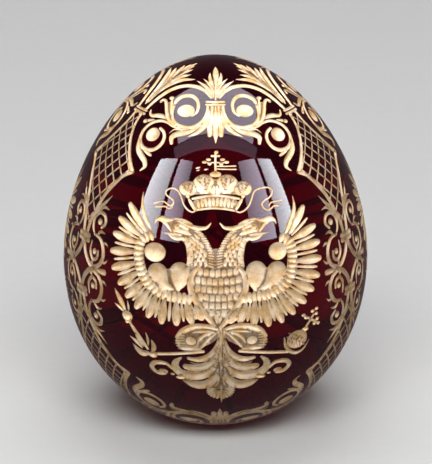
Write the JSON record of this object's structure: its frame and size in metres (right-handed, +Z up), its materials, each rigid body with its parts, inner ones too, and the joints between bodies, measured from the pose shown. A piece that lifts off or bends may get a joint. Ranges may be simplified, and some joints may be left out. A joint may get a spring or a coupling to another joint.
{
  "type": "glass decorative egg",
  "caption": "Solid ruby glass egg on a ground flat foot, wheel-engraved with a two-headed eagle, scrolls and lattice, gilded in the cuts.",
  "frame": {"origin": "centre of the flat foot, on the surface that the egg stands on", "axes": "+Z up along the egg's axis, the front medallion towards -Y, +X to the viewer's right"},
  "size_m": [0.075, 0.0749, 0.0913],
  "materials": {
    "ruby_glass": "polished ruby glass",
    "gilding": "matt burnished gold in the cuts, browned in the deepest places"
  },
  "bodies": {
    "root": {"egg": "ruby_glass"}
  },
  "joints": []
}
